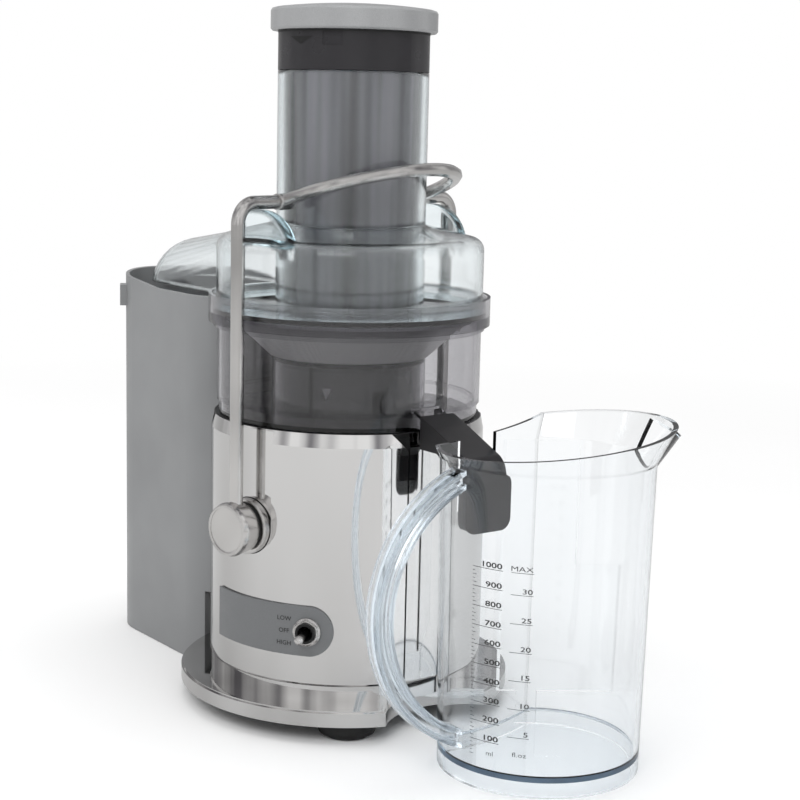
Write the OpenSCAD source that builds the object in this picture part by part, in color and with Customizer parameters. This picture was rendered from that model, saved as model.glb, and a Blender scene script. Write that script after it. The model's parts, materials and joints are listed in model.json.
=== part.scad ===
// Centrifugal juicer: motor base, bowl, spinning filter, feed chute, pulp bin and jug.
// Millimetres, +Z up. The origin is on the motor axis at worktop level.
// -Y is the front, with the switch and one end of the locking arm, and +X is the jug's side.

/* [Base] */
// Height of the rubber feet under the tray
foot_h = 10.6; // [8:0.1:14]
// Radius of a foot
foot_r = 17.6; // [14:0.1:19]
// Distance of each foot from the motor axis
foot_circle_r = 80; // [77:0.5:82]
// Radius of the base tray
tray_r = 102; // [100:0.5:106]
// Height of the tray's skirt
tray_h = 9.4; // [8:0.1:12]
// Sheet thickness of the tray
tray_wall = 1.6; // [1:0.1:2.5]
// Radius of the bite in the tray beside the jug
tray_bite_r = 50; // [46:1:56]
// Distance of the bite's centre from the motor axis
tray_bite_x = 130; // [129:1:132]

/* [Motor housing] */
// Height of the dark ring between the tray and the panels
plinth_h = 9; // [7:0.5:12]
// Height of the steel panels
panel_h = 150; // [146:1:156]
// Outer radius of the steel panels
panel_r = 84; // [83:0.5:86]
// Thickness of the panels
panel_wall = 2; // [1.2:0.1:2.4]
// Height of the bevel round the top of the panels
bevel_h = 8; // [5:0.5:10]
// How far the bevel leans in
bevel_in = 1.6; // [1:0.1:1.8]
// Wall of the housing inside the panels
housing_wall = 2.7; // [2:0.1:4]
// Radius of the drive tower that stands inside the bowl
tower_r = 44.5; // [43:0.5:46]
// Height of the drive tower
tower_h = 32; // [30:0.5:34]

/* [Motor] */
// Radius of the motor shaft
shaft_r = 4; // [3.5:0.1:4.5]
// Radius of the motor's ball bearings
bearing_r = 11; // [10:0.5:12]
// Width of the motor's ball bearings
bearing_w = 7; // [6:0.5:8]
// Radius of the stator core
stator_r = 43; // [42:0.5:46]
// Length of the stator core
stator_h = 40; // [34:1:44]
// Radius of the stator's bore
stator_bore_r = 25; // [23:0.5:26]
// Air gap between the armature and the stator
air_gap = 0.6; // [0.4:0.1:1]
// Radius of the commutator
commutator_r = 12; // [11:0.5:13]
// Number of bars on the commutator
commutator_bars = 24; // [16:2:32]
// Radius of the cooling fan
fan_r = 32; // [28:0.5:33]
// Number of blades on the cooling fan
fan_blades = 11; // [7:1:15]

/* [Bowl] */
// Outer radius of the bowl's wall
bowl_r = 81; // [80:0.5:82]
// Height of the bowl
bowl_h = 62; // [60:0.5:66]
// Wall of the bowl
bowl_wall = 2.5; // [2:0.1:3]
// Width of the bowl's rim past its wall
rim_out = 5.2; // [4.4:0.1:6]
// Height of the bowl's rim
rim_h = 6; // [5:0.5:8]
// Thickness of the seal between bowl and cover
seal_h = 2.4; // [2:0.1:3]
// Turn of the spout and pulp chute line about the motor axis
spout_turn = -12; // [-14:0.5:-10]
// Width of the spout
spout_w = 20; // [18:0.5:21]
// Reach of the spout from the motor axis
spout_reach = 102; // [99:0.5:104]
// Width of the nozzle's flap
flap_w = 32; // [28:0.5:36]
// Reach of the nozzle's flap from the motor axis
flap_reach = 139; // [137.5:0.5:141]
// Height of the nozzle's lower edge above the worktop
flap_low = 131; // [126:1:136]

/* [Filter] */
// Radius of the filter's floor
filter_floor_r = 49; // [48:0.5:52]
// Clearance between the filter's rim and the bowl's wall
filter_gap = 3; // [2.5:0.1:4.5]
// Height of the filter from floor to rim
filter_h = 25; // [23:0.5:26]
// Sheet thickness of the filter
filter_wall = 1.2; // [1:0.1:1.6]
// Number of slots in each ring of the filter's wall
filter_slots = 30; // [18:1:36]
// Radius of the cutting disc
disc_r = 41; // [38:0.5:42]
// Number of arms of teeth on the cutting disc
tooth_arms = 9; // [6:1:12]
// Number of teeth in each arm
teeth_per_arm = 8; // [5:1:9]
// Height of a tooth
tooth_h = 1.8; // [1.2:0.1:2]

/* [Cover and pusher] */
// Height of the cover's wall
cover_h = 44; // [42:0.5:46]
// Wall of the cover
cover_wall = 2.5; // [2:0.1:3]
// Radius of the cover's shoulder
shoulder_r = 8; // [6:0.5:10]
// Rise of the cover's top from shoulder to chute
cover_rise = 7; // [5:0.5:8]
// Outer radius of the feed chute
chute_r = 45.4; // [44.5:0.1:46]
// Wall of the feed chute
chute_wall = 2.8; // [2.4:0.1:3]
// Height of the chute's mouth above the worktop
chute_top = 385; // [380:1:390]
// Gap between the pusher and the chute
pusher_gap = 0.7; // [0.5:0.1:1]
// Height of the pusher's dark collar
collar_h = 23; // [20:0.5:26]
// Radius of the pusher's cap
cap_r = 50; // [48.5:0.5:52]
// Height of the pusher's cap
cap_h = 16.5; // [14:0.5:18]

/* [Locking arm] */
// Height of the arm's pivot above the worktop
pivot_z = 120; // [116:1:124]
// Radius of the pivot pins
pin_r = 5; // [4:0.5:6]
// Clearance between the bowl's rim and the arm's legs
leg_gap = 3.8; // [3:0.1:5.5]
// Radius of the arm's rod
rod_r = 4; // [3.5:0.1:4.4]
// Radius of the knobs at the arm's pivots
knob_r = 16; // [14:0.5:18]
// Height of the arm's shoulders above the worktop
shoulder_z = 309; // [308:0.5:311]
// Half the width of the arm's loop, to the middle of its bar
loop_y = 58; // [57:0.5:60]
// Reach of the loop past the pivot line
loop_x = 66; // [64:1:70]
// Lean of the loop towards the jug's side
loop_tilt = 18; // [15:1:20]
// Width of the loop's flat bar
bar_w = 9; // [7:0.5:10]
// Thickness of the loop's flat bar
bar_h = 6.5; // [5:0.5:7.5]

/* [Switch] */
// Height of the toggle above the worktop
toggle_z = 62; // [58:1:66]
// Turn of the toggle about the motor axis
toggle_turn = -61.5; // [-64:0.5:-59]
// Height of the control plate
plate_h = 30; // [26:1:32]
// Length of the toggle's lever outside its bush
lever_len = 15; // [12:0.5:18]

/* [Pulp bin] */
// Length of the bin, away from the motor
bin_len = 146; // [138:1:150]
// Width of the bin
bin_w = 104; // [100:1:112]
// Height of the bin
bin_h = 243; // [240:0.5:243.5]
// Wall of the bin
bin_wall = 2.5; // [2:0.1:3]
// Corner radius of the bin
bin_corner_r = 36; // [30:1:42]
// Gap between the bin and the bowl's rim
bin_gap = 1.8; // [1.5:0.1:3]

/* [Jug] */
// Radius of the jug at its base
jug_r = 57; // [55:0.5:59]
// Radius of the jug where the flare begins
jug_top_r = 60; // [58:0.5:61]
// Height of the jug's rim above the worktop, at the jug's own axis
jug_h = 188; // [184:1:191]
// Rise of the rim towards the lip, in degrees
rim_tilt = 6.8; // [4:0.2:8]
// Height of the flare under the rim
flare_h = 12; // [8:1:16]
// How far the flare leans out for each millimetre of height
flare_lean = 0.52; // [0.3:0.02:0.6]
// Wall of the jug
jug_wall = 2.7; // [2:0.1:3]
// Thickness of the jug's floor
jug_floor = 12; // [8:0.5:13]
// Distance of the jug's axis from the motor axis along x
jug_x = 163.7; // [162:0.1:166]
// Radius of the hollow in the jug's wall round the motor axis
jug_hollow_r = 126; // [124:0.5:127]
// Outer radius of the handle's bow
handle_r = 82; // [80:1:84]
// Depth of the handle's bar
handle_d = 10; // [9:0.5:12]
// Width of the handle's bar
handle_w = 12; // [10:0.5:14]

/* [Hidden] */
$fn = 96;
// Faces of each rounded child of a hull
hull_fn = 32;
// Flat faces of neighbours lie this far apart
seat = 0.2;
// Radial clearance of a running fit
run = 0.05;
tray_top = foot_h + tray_h;
panel_z = tray_top + plinth_h;
body_top = panel_z + panel_h;
panel_in = panel_r - panel_wall;
housing_r = panel_in - seat;
housing_in = housing_r - housing_wall;
bead_r = panel_r - 0.8;
skin_t = 0.6;
plinth_r = housing_r - 5;
deck_t = 3;
deck_z = body_top - deck_t;
tower_top = body_top + tower_h;
tower_wall = 3;
tray_hole_r = 66;
ledge_z = panel_z + 10;
cut_l = 60;
pad_h = 3;
bracket_t = 6;
low_bracket_z = ledge_z + pad_h + seat;
high_bracket_z = body_top - 31;
bracket_r = housing_in - 4;
post_r = 4;
post_circle_r = stator_r - 5;
stator_z = low_bracket_z + 34;
shaft_low = low_bracket_z - 8;
coupling_h = 7;
shaft_top = tower_top + seat + coupling_h;
bowl_z = body_top + seat;
bowl_in = bowl_r - bowl_wall;
bowl_top = bowl_z + bowl_h;
filter_rim_r = bowl_in - filter_gap;
well_in = tower_r + 0.5;
well_r = well_in + 2.2;
well_top = tower_top + 0.5;
hub_hole_r = 26;
seal_z = bowl_top + seat;
flange_z = seal_z + seal_h + seat;
flange_h = 7.5;
rim_r = bowl_r + rim_out;
rim_in = rim_r - 2;
rim_rise = 10.8;
flange_r = rim_in - 0.5;
cover_top = flange_z + cover_h;
cover_r = bowl_r + 0.5;
floor_z = tower_top + 4;
disc_z = floor_z + filter_wall + seat;
disc_t = 1.6;
teeth_top = disc_z + disc_t + tooth_h;
chute_low = teeth_top + 3;
chute_in = chute_r - chute_wall;
pusher_r = chute_in - pusher_gap;
pusher_low = chute_low + 1;
collar_z = chute_top + seat;
cap_z = collar_z + collar_h + seat;
leg_y = rim_r + rod_r + leg_gap;
ear_z = shoulder_z - rod_r - 0.3;
ear_y0 = cover_r - 9.2;
ear_w = 7;
washer_t = 1.6;
boss_t = 3;
washer_y = panel_r + boss_t + seat;
knob_y = washer_y + washer_t + seat;
knob_len = 2 * (leg_y - knob_y);
bend_r = 12;
plate_t = 1.4;
bush_r = 6;
nut_t = 3;
bin_turn = 180 + spout_turn;
bin_near = max(rim_r, panel_r) + bin_gap;
bin_x = bin_near - 14;
bin_rise = 9;
bin_level = 150;
lug_turn = 62;
hood_z = bin_h + 0.8;
hood_half = 36;
hood_rise = 3;
hood_from = chute_r + 9;
hood_reach = 178;
jug_y = -12.6;
lip_turn = 50;
notch_w = 26;
notch_z = 142;
handle_turn = -105;
handle_mid = 98;
handle_in = 32;
jug_recess = jug_floor - 3.5;
jug_foot_t = 4;
base_plate_t = 2.4;
board_z = foot_h + base_plate_t + 9;
gland_z = panel_z + 16;
channel_w = 34;
arrow_turn = -63.5;
arrow_z = body_top + 17;
plate_from = -109;
plate_to = -51;
switch_r0 = housing_in - 24;
nut_x = panel_r + seat + plate_t + seat;
toggle_pivot_x = panel_r - 2;
commutator_z = stator_z + stator_h + 8;
commutator_h = 14;
brush_mid = commutator_z + commutator_h / 2;
seal_r = 12;
spout_low = bowl_z - 6;
spout_root = bowl_z + 13.4;
spout_tip = bowl_z + 4.3;
spout_gap = 0.3;
droop_x = panel_r + 0.8;
sleeve_len = 12;
nozzle_wall = 1.8;
sleeve_half = spout_w / 2 + 0.3 + nozzle_wall;
elbow_x = spout_reach + 4;
neck_low = spout_low - spout_gap - nozzle_wall;
brow_r = 12;
brow_z = 162;
mouth_z = 158;
mouth_d = 15;
flap_d = 7.5;
hub_r = 21;
hub_dome_r = 17;
socket_r = 12.6;
flare_z = jug_h - flare_h;
flare_rise = flare_h + 16;
separator_turn = 43;

// ---- shared shapes ----

// A tube that stands on z.
module tube(r_out, r_in, h, z = 0) {
    translate([0, 0, z])
        difference() {
            cylinder(r = r_out, h = h);
            translate([0, 0, -1])
                cylinder(r = r_in, h = h + 2);
        }
}

// A box centred on x and y that stands on z.
module block(size, z = 0) {
    translate([-size[0] / 2, -size[1] / 2, z])
        cube(size);
}

// A flat rectangle from x0 to x1 with rounded corners.
module rounded_outline(x0, x1, w, r) {
    for (x = [x0 + r, x1 - r], y = [r - w / 2, w / 2 - r])
        translate([x, y])
            circle(r = r);
    translate([x0 + r, -w / 2])
        square([x1 - x0 - 2 * r, w]);
    translate([x0, r - w / 2])
        square([x1 - x0, w - 2 * r]);
}

// Places its children at each of the four corners round the motor axis.
module at_corners(r) {
    for (turn = [45 : 90 : 315])
        rotate([0, 0, turn])
            translate([r, 0, 0])
                children();
}

// A screw head with a cross recess, head down.
module screw_down(r, h) {
    difference() {
        translate([0, 0, -h])
            cylinder(r = r, h = h);
        for (turn = [0, 90])
            rotate([0, 0, turn])
                block([1.3 * r, 0.9, 1.2], -h - 0.2);
    }
}

// ---- base ----

// Outline of the tray with its bite beside the jug.
module tray_outline(inset) {
    difference() {
        circle(r = tray_r - inset);
        rotate([0, 0, spout_turn])
            translate([tray_bite_x, 0])
                circle(r = tray_bite_r + inset);
    }
}

module base_tray() {
    color("gainsboro")
        difference() {
            union() {
                translate([0, 0, foot_h])
                    linear_extrude(height = tray_h - 1.2)
                        tray_outline(0);
                translate([0, 0, foot_h])
                    linear_extrude(height = tray_h)
                        tray_outline(1.2);
                tube(bead_r, bead_r - tray_wall, plinth_h - seat + 1, tray_top - 1);
            }
            translate([0, 0, foot_h - 1])
                linear_extrude(height = tray_h - tray_wall + 1)
                    tray_outline(tray_wall);
            translate([0, 0, foot_h])
                cylinder(r = tray_hole_r, h = tray_h + 1);
        }
}

module base_plate() {
    color("dimgray")
        difference() {
            union() {
                translate([0, 0, foot_h])
                    linear_extrude(height = base_plate_t)
                        tray_outline(tray_wall + seat);
                for (x = [-28, 28], y = [-18, 18])
                    translate([x, y, foot_h])
                        cylinder(r = 4, h = board_z - foot_h - seat);
                tube(tray_hole_r - seat, tray_hole_r - 3, tray_h, foot_h);
            }
            for (turn = [0 : 30 : 330])
                rotate([0, 0, turn + 15])
                    translate([48, 0, foot_h - 1])
                        block([20, 4, base_plate_t + 2]);
            at_corners(foot_circle_r)
                translate([0, 0, foot_h - 1])
                    cylinder(r = 3, h = base_plate_t + 2);
        }
}

module base_screws() {
    color("silver")
        for (turn = [0 : 90 : 270])
            rotate([0, 0, turn])
                translate([56, 0, foot_h - seat])
                    screw_down(4, 2.5);
}

// A rubber foot with a stem that plugs into the base plate.
module foot(turn) {
    color([0.13, 0.13, 0.15])
        rotate([0, 0, turn])
            translate([foot_circle_r, 0, 0])
                rotate_extrude()
                    polygon([[0, 0], [foot_r - 4, 0], [foot_r - 1.2, 1.6], [foot_r, 4.5],
                             [foot_r - 0.8, foot_h - seat], [2.9, foot_h - seat],
                             [2.9, foot_h + base_plate_t], [0, foot_h + base_plate_t]]);
}

module foot_front_right() { foot(-45); }
module foot_front_left() { foot(-135); }
module foot_rear_right() { foot(45); }
module foot_rear_left() { foot(135); }

module cord_gland() {
    color([0.12, 0.12, 0.13])
        translate([0, housing_in - 3, gland_z])
            rotate([-90, 0, 0]) {
                tube(5.8, 3.6, panel_r - housing_in + 7);
                tube(8.2, 3.6, 2.8, panel_r - housing_in + 3.4);
            }
}

// ---- motor housing and its panels ----

// A hole through the front of the housing at the toggle, or anywhere else round it.
module radial_hole(turn, z, r, from_r) {
    rotate([0, 0, turn])
        translate([from_r, 0, z])
            rotate([0, 90, 0])
                cylinder(r = r, h = cut_l);
}

module motor_housing() {
    color([0.2, 0.2, 0.22])
        difference() {
            union() {
                tube(plinth_r, plinth_r - housing_wall, plinth_h + 2, tray_top);
                tube(housing_r, housing_in, panel_h - deck_t, panel_z);
                tube(housing_in + 1, housing_in - 14, 4, ledge_z - 4);
                tube(housing_in + 1, plinth_r - housing_wall, 3, panel_z);
            }
            radial_hole(toggle_turn, toggle_z, bush_r + seat, housing_in - 5);
            for (side = [-90, 90])
                radial_hole(side, pivot_z, pin_r, housing_in - 5);
            radial_hole(90, gland_z, 5.8 + seat, housing_in - 5);
        }
}

// One steel panel between two angles, bevelled along its top.
module panel(from_turn, to_turn) {
    rotate([0, 0, from_turn])
        rotate_extrude(angle = to_turn - from_turn)
            polygon([[panel_in, panel_z + 1.2], [panel_in + 0.8, panel_z],
                     [panel_r - 0.8, panel_z], [panel_r, panel_z + 1.2],
                     [panel_r, body_top - bevel_h], [panel_r - bevel_in, body_top],
                     [panel_in, body_top]]);
}

// The arm's channel and pivot hole, cut out of a panel at the front or the rear.
module arm_channel(turn) {
    rotate([0, 0, turn]) {
        translate([panel_in - 8, 0, pivot_z])
            rotate([0, 90, 0])
                cylinder(r = channel_w / 2, h = 40);
        difference() {
            translate([panel_in - 8, -channel_w / 2, pivot_z])
                cube([40, channel_w, 100]);
            translate([0, 0, pivot_z - 1])
                cylinder(r = panel_in + skin_t, h = 102);
        }
    }
}

// Cuts a panel's top corner off, at a turn and y off that line.
module corner_cut(turn, y, size) {
    rotate([0, 0, turn])
        translate([panel_in, y, body_top])
            rotate([45, 0, 0])
                cube([20, size, size], center = true);
}

module front_panel() {
    color("whitesmoke")
        difference() {
            panel(-128, -22);
            arm_channel(-90);
            corner_cut(-22, 0, 14);
            corner_cut(-128, 0, 10);
            radial_hole(toggle_turn, toggle_z, bush_r + seat, housing_in);
        }
}

module rear_panel() {
    color("whitesmoke")
        difference() {
            panel(46, 128);
            arm_channel(90);
            corner_cut(46, 0, 10);
            corner_cut(128, 0, 10);
            radial_hole(90, gland_z, 5.8 + seat, housing_in);
            for (row = [0 : 4], side = [-1, 1])
                rotate([0, 0, 90 + side * 20])
                    translate([panel_in, 0, panel_z + 22 + 7 * row])
                        block([14, 16, 3]);
        }
}

module jug_side_panel() {
    color("whitesmoke")
        panel(-21.3, 45.3);
}

module bin_side_panel() {
    color("whitesmoke")
        panel(128.7, 231.3);
}

// The deck that closes the housing, with the tower that the bowl drops over.
module top_deck() {
    color([0.22, 0.22, 0.24])
        difference() {
            union() {
                translate([0, 0, deck_z])
                    cylinder(r = housing_r, h = deck_t);
                tube(housing_in - seat, housing_in - 3, 6, deck_z - 6);
                translate([0, 0, deck_z])
                    rotate_extrude()
                        polygon([[0, 0], [tower_r, 0], [tower_r, tower_top - deck_z - 2],
                                 [tower_r - 2, tower_top - deck_z], [0, tower_top - deck_z]]);
            }
            translate([0, 0, deck_z - 1])
                cylinder(r = tower_r - tower_wall, h = tower_h + deck_t - tower_wall + 1);
            translate([0, 0, tower_top - tower_wall - 1])
                cylinder(r = seal_r, h = tower_wall + 2);
            rotate([0, 0, arrow_turn])
                translate([tower_r, 0, arrow_z])
                    block([0.8, 6, 8], -4);
        }
}

// The pale mark that shows which way round the bowl drops on.
module alignment_arrow() {
    color("lightgray")
        rotate([0, 0, arrow_turn])
            translate([tower_r - 0.4 + seat / 2, 0, arrow_z])
                rotate([90, 0, 90])
                    linear_extrude(height = 0.4)
                        polygon([[-2.8, 3.4], [2.8, 3.4], [0, -3.4]]);
}

// ---- switch and electrics ----

// The curved grey plate round the switch, square at one end and round at the other.
module control_plate() {
    end_r = plate_h / 2;
    end_turn = end_r / panel_r * 180 / PI;
    color([0.62, 0.63, 0.66])
        difference() {
            translate([0, 0, toggle_z - end_r + 0.05])
                rotate([0, 0, plate_from])
                    rotate_extrude(angle = plate_to - plate_from + 3)
                        translate([panel_r + seat, 0])
                            square([plate_t, plate_h - 0.1]);
            rotate([0, 0, plate_to - end_turn])
                difference() {
                    translate([panel_r - 10, 0, toggle_z - end_r - 1])
                        cube([20, plate_h, plate_h + 2]);
                    translate([panel_r - 12, 0, toggle_z])
                        rotate([0, 90, 0])
                            cylinder(r = end_r, h = 24);
                }
            radial_hole(toggle_turn, toggle_z, bush_r + seat, housing_in);
        }
}

// Puts its children at the toggle, with +X pointing out of the panel.
module at_toggle() {
    rotate([0, 0, toggle_turn])
        translate([0, 0, toggle_z])
            children();
}

module switch_body() {
    color([0.16, 0.17, 0.2])
        at_toggle() {
            difference() {
                union() {
                    translate([switch_r0, -9, -13])
                        cube([20, 18, 26]);
                    translate([switch_r0 + 20, 0, 0])
                        rotate([0, 90, 0])
                            cylinder(r = bush_r, h = panel_r + 6.5 - switch_r0 - 20);
                }
                translate([switch_r0 + 14, 0, 0])
                    rotate([0, 90, 0])
                        cylinder(r1 = 2.4, r2 = 4.6, h = panel_r + 7.5 - switch_r0 - 14);
            }
            for (z = [-8, 0, 8])
                translate([switch_r0 - 6, -2.5, z - 0.4])
                    cube([6, 5, 0.8]);
        }
}

module toggle_nut() {
    color("silver")
        at_toggle()
            translate([nut_x, 0, 0])
                rotate([0, 90, 0])
                    difference() {
                        union() {
                            cylinder(r = 8.4, h = 1.2);
                            cylinder(r = 7.6, h = nut_t, $fn = 6);
                        }
                        translate([0, 0, -1])
                            cylinder(r = bush_r + run, h = nut_t + 2);
                    }
}

module toggle_lever() {
    color("silver")
        at_toggle()
            translate([toggle_pivot_x, 0, 0]) {
                sphere(r = 3.2, $fn = 48);
                rotate([0, 90, 0])
                    cylinder(r1 = 1.5, r2 = 2.6, h = lever_len + 6);
                translate([lever_len + 6, 0, 0])
                    sphere(r = 2.6, $fn = 48);
            }
}

module control_board() {
    color("darkgreen")
        translate([0, 0, board_z])
            difference() {
                block([68, 48, 1.6]);
                for (x = [-28, 28], y = [-18, 18])
                    translate([x, y, -1])
                        cylinder(r = 1.6, h = 4);
            }
    color("slategray")
        translate([0, 0, board_z + 1.6]) {
            translate([-14, 6, 0])
                cylinder(r = 6, h = 5.5);
            translate([2, 6, 0])
                block([12, 14, 5]);
            translate([8, -12, 0])
                block([26, 5, 5.5]);
            translate([-16, -12, 0])
                cylinder(r = 4, h = 4);
        }
}

// The small switch that lets the motor run only with the arm up.
module interlock_switch() {
    color([0.1, 0.1, 0.12])
        translate([0, 0, pivot_z]) {
            translate([-10, -housing_in + 2.2, 10])
                cube([20, 6.4, 11]);
            translate([-10, -housing_in + 3, 8.6])
                cube([14, 3.4, 1.4]);
            translate([-7, -housing_in + 0.6, 14])
                cube([14, 2, 5]);
        }
}

// ---- motor ----

module motor_pads() {
    color([0.1, 0.1, 0.1])
        at_corners(bracket_r - 5)
            translate([0, 0, ledge_z + seat / 2])
                cylinder(r = 5, h = pad_h);
}

// A bracket across the housing that holds one bearing.
module motor_bracket(z, cup_z) {
    difference() {
        union() {
            translate([0, 0, z])
                cylinder(r = 24, h = bracket_t);
            intersection() {
                translate([0, 0, z])
                    cylinder(r = bracket_r, h = bracket_t);
                for (turn = [45, 135])
                    rotate([0, 0, turn])
                        block([2 * bracket_r, 18, bracket_t], z);
            }
            translate([0, 0, cup_z])
                cylinder(r = bearing_r + 3, h = bearing_w + 1);
        }
        translate([0, 0, cup_z + 1])
            cylinder(r = bearing_r + run, h = bearing_w + 1);
        translate([0, 0, z - 20])
            cylinder(r = shaft_r + 1.5, h = 60);
    }
}

module lower_bracket() {
    color("darkgray") {
        motor_bracket(low_bracket_z, low_bracket_z - 0.5);
        at_corners(post_circle_r)
            translate([0, 0, low_bracket_z + bracket_t - 1])
                cylinder(r = post_r, h = stator_z - low_bracket_z - bracket_t + 1 - seat / 2);
    }
}

// The upper bracket's posts come down on the stator, and its bearing is let in from above.
module upper_bracket() {
    post_z = stator_z + stator_h + seat / 2;
    color("darkgray") {
        motor_bracket(high_bracket_z, high_bracket_z - 0.5);
        at_corners(post_circle_r)
            translate([0, 0, post_z])
                cylinder(r = post_r, h = high_bracket_z - post_z + 1);
    }
}

module bracket_screws() {
    color("silver")
        at_corners(post_circle_r)
            translate([0, 0, high_bracket_z + bracket_t + seat / 2])
                rotate([180, 0, 0])
                    screw_down(3.4, 2.4);
}

// A ball bearing: two races, a ring of balls and the shield between them.
module ball_bearing(z) {
    mid_r = (bearing_r + shaft_r) / 2;
    translate([0, 0, z])
        difference() {
            cylinder(r = bearing_r, h = bearing_w);
            translate([0, 0, -1])
                cylinder(r = shaft_r + run, h = bearing_w + 2);
            for (face = [-0.1, bearing_w - 0.5])
                tube(mid_r + 1.3, mid_r - 1.3, 0.6, face);
        }
}

module lower_bearing() {
    color("silver")
        ball_bearing(low_bracket_z + 0.5);
}

module upper_bearing() {
    color("silver")
        ball_bearing(high_bracket_z + 0.5);
}

module motor_stator() {
    color([0.45, 0.45, 0.48])
        translate([0, 0, stator_z])
            difference() {
                cylinder(r = stator_r, h = stator_h);
                translate([0, 0, -1])
                    cylinder(r = stator_bore_r, h = stator_h + 2);
                for (turn = [0, 180])
                    rotate([0, 0, turn])
                        translate([stator_bore_r + 3, 0, -1])
                            block([16, 14, stator_h + 2]);
            }
}

module field_coils() {
    coil_in = stator_bore_r + 1;
    coil_out = post_circle_r - post_r - 1;
    color([0.72, 0.38, 0.2])
        for (z = [stator_z - 8 - seat / 2, stator_z + stator_h + seat / 2])
            tube(coil_out, coil_in, 8, z);
}

module armature() {
    core_r = stator_bore_r - air_gap;
    color([0.5, 0.5, 0.52])
        difference() {
            translate([0, 0, stator_z + 1])
                cylinder(r = core_r, h = stator_h - 2);
            for (turn = [0 : 30 : 330])
                rotate([0, 0, turn])
                    translate([core_r, 0, stator_z])
                        block([5, 1.6, stator_h]);
            translate([0, 0, stator_z])
                cylinder(r = shaft_r + run, h = stator_h);
        }
    color([0.72, 0.38, 0.2])
        for (z = [stator_z - 5, stator_z + stator_h - 1])
            tube(core_r - 5, shaft_r + run, 6, z);
}

module commutator() {
    color([0.75, 0.45, 0.25])
        translate([0, 0, commutator_z])
            difference() {
                cylinder(r = commutator_r, h = commutator_h);
                translate([0, 0, -1])
                    cylinder(r = shaft_r + run, h = commutator_h + 2);
                for (bar = [1 : commutator_bars])
                    rotate([0, 0, bar * 360 / commutator_bars])
                        translate([commutator_r, 0, -1])
                            block([1.6, 0.6, commutator_h + 2]);
            }
}

module brush_holders() {
    color([0.78, 0.66, 0.36])
        for (turn = [0, 180])
            rotate([0, 0, turn]) {
                difference() {
                    translate([commutator_r + 3, -5, brush_mid - 5])
                        cube([24, 10, 10]);
                    translate([commutator_r + 2, -3.2, brush_mid - 3.2])
                        cube([24, 6.4, 6.4]);
                }
                translate([commutator_r + 5, -3, brush_mid + 5])
                    cube([6, 6, high_bracket_z - brush_mid - 5 - seat / 2]);
            }
}

module carbon_brushes() {
    color([0.15, 0.15, 0.15])
        for (turn = [0, 180])
            rotate([0, 0, turn])
                difference() {
                    translate([commutator_r - 2, -3, brush_mid - 3])
                        cube([20, 6, 6]);
                    translate([0, 0, brush_mid - 4])
                        cylinder(r = commutator_r + 0.2, h = 8);
                }
}

module motor_shaft() {
    color("silver")
        translate([0, 0, shaft_low])
            difference() {
                cylinder(r = shaft_r, h = shaft_top - shaft_low);
                translate([shaft_r - 0.8, -shaft_r, shaft_top - shaft_low - coupling_h])
                    cube([2, 2 * shaft_r, coupling_h + 1]);
            }
}

module cooling_fan() {
    fan_z = low_bracket_z + bracket_t + bearing_w - 3;
    color([0.25, 0.25, 0.28])
        translate([0, 0, fan_z])
            difference() {
                union() {
                    cylinder(r = fan_r, h = 1.8);
                    cylinder(r = 9, h = 12);
                    for (blade = [1 : fan_blades])
                        rotate([0, 0, blade * 360 / fan_blades])
                            translate([8, -0.8, 1])
                                cube([fan_r - 9, 1.6, 10]);
                }
                translate([0, 0, -1])
                    cylinder(r = shaft_r + run, h = 14);
            }
}

module shaft_seal() {
    color([0.1, 0.1, 0.1])
        translate([0, 0, tower_top - tower_wall])
            difference() {
                cylinder(r = seal_r - run, h = tower_wall);
                translate([0, 0, -1])
                    cylinder(r = shaft_r + 2 * run, h = tower_wall + 2);
            }
}

// The three-winged dog that drives the filter.
module drive_coupling() {
    color([0.3, 0.3, 0.33])
        translate([0, 0, tower_top + seat])
            difference() {
                union() {
                    cylinder(r = 13, h = 2);
                    cylinder(r = 8, h = coupling_h);
                    for (turn = [0 : 120 : 240])
                        rotate([0, 0, turn])
                            translate([0, -2.5, 0])
                                cube([12, 5, coupling_h - 1.5]);
                }
                translate([0, 0, -1])
                    difference() {
                        cylinder(r = shaft_r + run, h = coupling_h + 2);
                        translate([shaft_r - 0.8 + run, -shaft_r - 1, -1])
                            cube([4, 2 * shaft_r + 2, coupling_h + 4]);
                    }
            }
}

// ---- locking arm ----

// Puts its children at the front or rear pivot, with +Z pointing outwards.
module at_pivot(side) {
    translate([0, 0, pivot_z])
        rotate([side * -90, 0, 0])
            children();
}

// The steel boss and pin that one end of the arm turns on.
module arm_pivot(side) {
    color("silver")
        at_pivot(side) {
            translate([0, 0, housing_r + seat])
                cylinder(r = channel_w / 2 - 0.4, h = panel_r + boss_t - housing_r - seat);
            translate([0, 0, housing_in - 6])
                cylinder(r = pin_r - run, h = knob_y + knob_len - housing_in + 2);
            translate([0, 0, housing_in - 8])
                cylinder(r = pin_r + 3, h = 8 - seat, $fn = 6);
        }
}

module front_pivot() { arm_pivot(-1); }
module rear_pivot() { arm_pivot(1); }

module washer(side) {
    color([0.08, 0.08, 0.08])
        at_pivot(side)
            tube(knob_r - 2, pin_r + run, washer_t, washer_y);
}

module front_washer() { washer(-1); }
module rear_washer() { washer(1); }

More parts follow.
